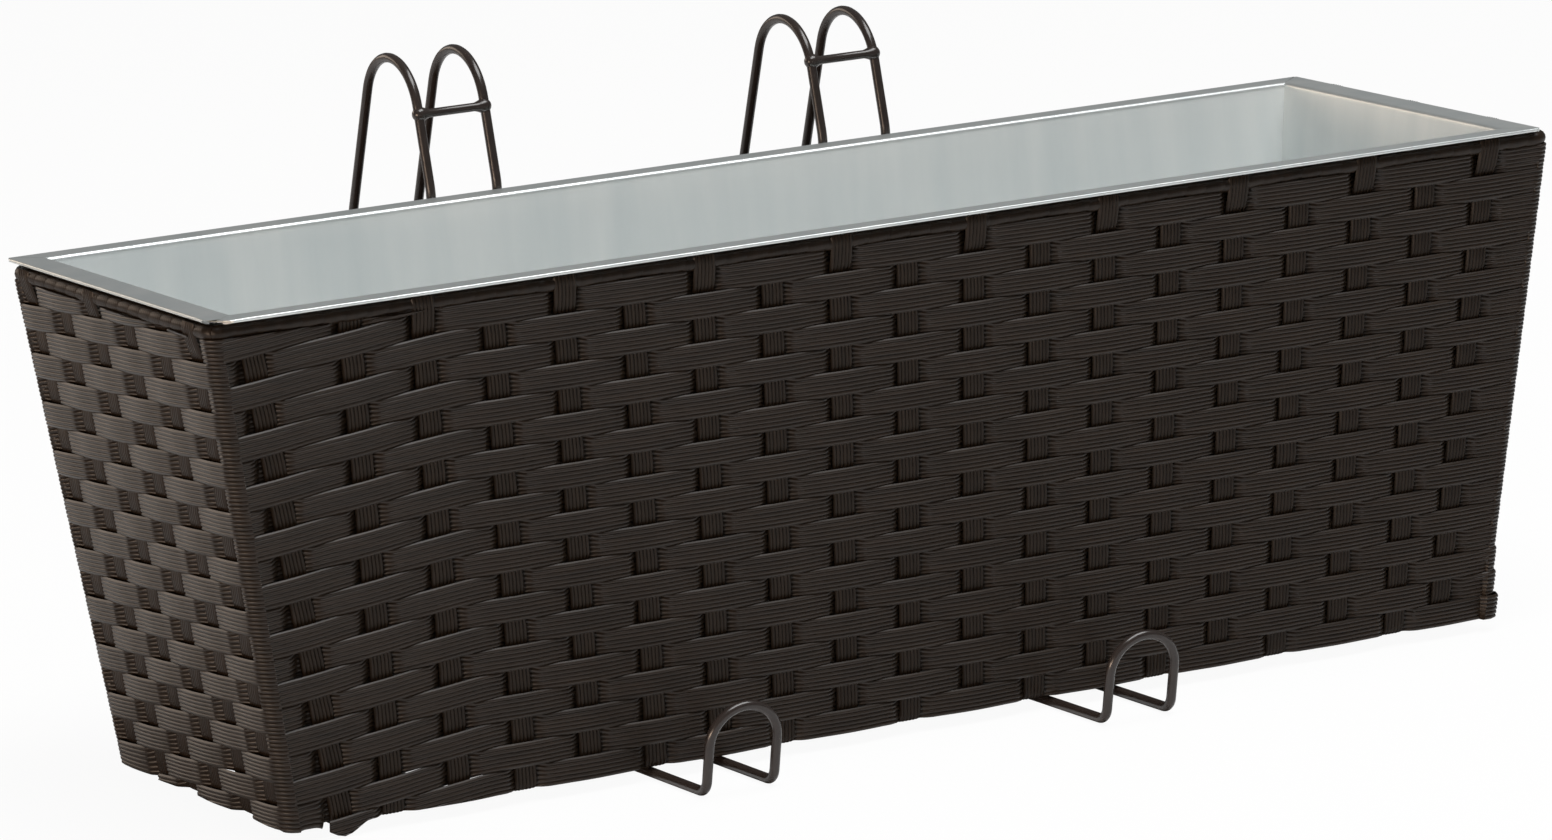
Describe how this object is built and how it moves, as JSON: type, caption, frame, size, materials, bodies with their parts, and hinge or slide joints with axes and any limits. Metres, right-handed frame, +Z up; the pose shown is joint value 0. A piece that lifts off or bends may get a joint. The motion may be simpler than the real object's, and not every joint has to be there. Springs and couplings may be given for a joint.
{
  "type": "window box planter",
  "caption": "Tapered woven window box with a lift-out sheet-metal liner and sliding bent-wire hangers that hook over a balcony rail.",
  "frame": {"origin": "middle of the underside of the centre base bar, in the basket's centre plane", "axes": "+X along the box, +Y to the rail behind it, +Z up"},
  "size_m": [0.6008, 0.3003, 0.2589],
  "materials": {
    "wicker": "satin ribbed dark brown plastic strip",
    "frame_steel": "matt dark powder coat",
    "zinc_sheet": "dull galvanised sheet",
    "hanger_wire": "glossy dark brown coat"
  },
  "bodies": {
    "basket": {"back_stakes": "wicker", "right_stakes": "wicker", "front_stakes": "wicker", "left_stakes": "wicker", "weft_course_01": "wicker", "weft_course_02": "wicker", "weft_course_03": "wicker", "weft_course_04": "wicker", "weft_course_05": "wicker", "weft_course_06": "wicker", "weft_course_07": "wicker", "weft_course_08": "wicker", "weft_course_09": "wicker", "weft_course_10": "wicker", "weft_course_11": "wicker", "weft_course_12": "wicker", "weft_course_13": "wicker", "weft_course_14": "wicker", "weft_course_15": "wicker", "weft_course_16": "wicker", "weft_course_17": "wicker", "weft_course_18": "wicker", "weft_course_19": "wicker", "weft_course_20": "wicker", "weft_course_21": "wicker", "weft_course_22": "wicker", "top_rod_back": "frame_steel", "base_rod_back": "frame_steel", "top_rod_right": "frame_steel", "base_rod_right": "frame_steel", "top_rod_front": "frame_steel", "base_rod_front": "frame_steel", "top_rod_left": "frame_steel", "base_rod_left": "frame_steel", "corner_post_back_left": "frame_steel", "corner_post_back_right": "frame_steel", "corner_post_front_right": "frame_steel", "corner_post_front_left": "frame_steel", "base_bar_1": "frame_steel", "base_bar_2": "frame_steel", "base_bar_3": "frame_steel", "base_bar_4": "frame_steel", "base_bar_5": "frame_steel"},
    "liner": {"liner_trough": "zinc_sheet", "liner_end_left": "zinc_sheet", "liner_end_right": "zinc_sheet"},
    "hanger_left": {"hanger_left_wire": "hanger_wire", "hanger_left_crossbar": "hanger_wire"},
    "hanger_right": {"hanger_right_wire": "hanger_wire", "hanger_right_crossbar": "hanger_wire"}
  },
  "joints": [
    {"name": "liner_lift", "type": "slide", "parent": "basket", "child": "liner", "axis": [0, 0, 1], "range_m": [0, 0.25]},
    {"name": "hanger_left_slide", "type": "slide", "parent": "basket", "child": "hanger_left", "axis": [1, 0, 0], "range_m": [-0.14, 0.06]},
    {"name": "hanger_right_slide", "type": "slide", "parent": "basket", "child": "hanger_right", "axis": [1, 0, 0], "range_m": [-0.05, 0.165]}
  ]
}
